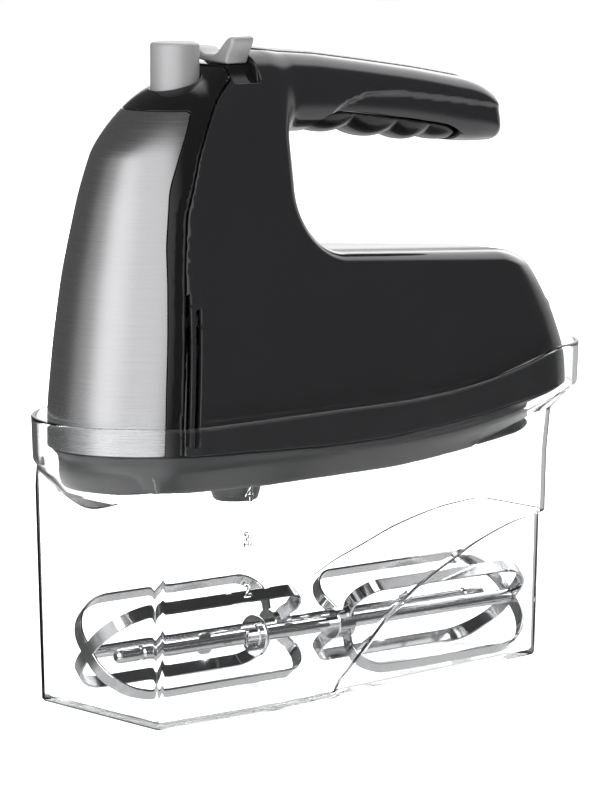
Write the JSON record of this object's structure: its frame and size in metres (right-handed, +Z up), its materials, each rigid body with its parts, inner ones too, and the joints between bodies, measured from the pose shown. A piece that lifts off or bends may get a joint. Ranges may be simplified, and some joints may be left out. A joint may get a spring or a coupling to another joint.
{
  "type": "hand mixer",
  "caption": "Electric hand mixer docked nose-first in a clear plastic storage case that also holds its two wire beaters lying flat.",
  "frame": {"origin": "under the middle of the storage case, on the surface it stands on", "axes": "+Z up, the mixer's nose and steel cover face -X, the handle's free end points to +X, +Y is the mixer's right-hand side"},
  "size_m": [0.2649, 0.0898, 0.2635],
  "materials": {
    "clear_plastic": "clear, moulded, glossy",
    "dark_plastic": "satin moulded",
    "black_plastic": "high gloss moulded",
    "satin_black": "satin moulded",
    "brushed_cover": "brushed across",
    "grip_rubber": "soft satin",
    "satin_silver": "satin silver lacquer",
    "white_nylon": "moulded",
    "spring_steel": "bright ground",
    "board_green": "lacquered",
    "lamination_steel": "stacked sheet",
    "copper_winding": "enamelled wire",
    "copper_bars": "turned",
    "zinc_frame": "die cast",
    "bronze": "sintered",
    "brass_parts": "stamped",
    "carbon": "pressed carbon",
    "chrome_wire": "polished plate"
  },
  "bodies": {
    "case": {"storage_case": "clear_plastic"},
    "mixer": {"base_pan": "dark_plastic", "left_shell": "black_plastic", "right_shell": "black_plastic", "spine_cover": "black_plastic", "pedestal": "black_plastic", "front_cover": "brushed_cover", "handle_cap": "satin_black", "finger_grip": "grip_rubber", "eject_spring": "spring_steel", "switch_body": "white_nylon", "circuit_board": "board_green", "motor_stator": "lamination_steel", "field_coils": "copper_winding", "motor_frame": "zinc_frame", "front_bearing": "bronze", "rear_bearing": "bronze", "brush_holders": "brass_parts", "carbon_brushes": "carbon", "brush_springs": "spring_steel", "gearbox_housing": "zinc_frame", "spindle_bushes": "bronze", "terminal_block": "white_nylon", "cord_inlet": "grip_rubber", "housing_screws": "spring_steel"},
    "button": {"eject_button": "satin_silver", "eject_yoke": "white_nylon"},
    "selector": {"speed_selector": "satin_silver", "selector_slider": "dark_plastic"},
    "rotor": {"motor_shaft": "spring_steel", "armature_core": "lamination_steel", "armature_winding": "copper_winding", "commutator": "copper_bars", "cooling_fan": "white_nylon", "worm": "spring_steel"},
    "spindle_left": {"left_spindle": "white_nylon", "left_worm_wheel": "white_nylon"},
    "spindle_right": {"right_spindle": "white_nylon", "right_worm_wheel": "white_nylon"},
    "beater_1": {"beater_1_shaft": "chrome_wire", "beater_1_blades": "chrome_wire", "beater_1_hub": "chrome_wire"},
    "beater_2": {"beater_2_shaft": "chrome_wire", "beater_2_blades": "chrome_wire", "beater_2_hub": "chrome_wire", "beater_2_collar": "chrome_wire"}
  },
  "joints": [
    {"name": "mixer_lift", "type": "slide", "parent": "case", "child": "mixer", "axis": [0, 0, 1], "range_m": [0, 0.26]},
    {"name": "beater_1_lift", "type": "slide", "parent": "case", "child": "beater_1", "axis": [0, 0, 1], "range_m": [0, 0.126]},
    {"name": "beater_2_lift", "type": "slide", "parent": "case", "child": "beater_2", "axis": [0, 0, 1], "range_m": [0, 0.126]},
    {"name": "eject_press", "type": "slide", "parent": "mixer", "child": "button", "axis": [0, 0, -1], "range_m": [0, 0.006], "stiffness_N_per_m": 900, "springref_m": -0.006, "deforming": ["eject_spring"]},
    {"name": "speed_slide", "type": "slide", "parent": "mixer", "child": "selector", "axis": [0, 1, 0], "range_m": [-0.004, 0.004]},
    {"name": "motor_spin", "type": "hinge", "parent": "mixer", "child": "rotor", "pos_m": [0.012, 0, 0.13], "axis": [1, 0, 0], "continuous": true},
    {"name": "left_spindle_spin", "type": "hinge", "parent": "mixer", "child": "spindle_left", "pos_m": [-0.059, -0.0195, 0.13], "axis": [0, 0, 1], "continuous": true},
    {"name": "right_spindle_spin", "type": "hinge", "parent": "mixer", "child": "spindle_right", "pos_m": [-0.059, 0.0195, 0.13], "axis": [0, 0, 1], "continuous": true}
  ],
  "couplings": [
    {"joint": "beater_1_lift", "follows": "mixer_lift", "ratio": 0.48},
    {"joint": "beater_2_lift", "follows": "mixer_lift", "ratio": 0.48},
    {"joint": "left_spindle_spin", "follows": "motor_spin", "ratio": 0.071429},
    {"joint": "right_spindle_spin", "follows": "motor_spin", "ratio": -0.071429}
  ]
}
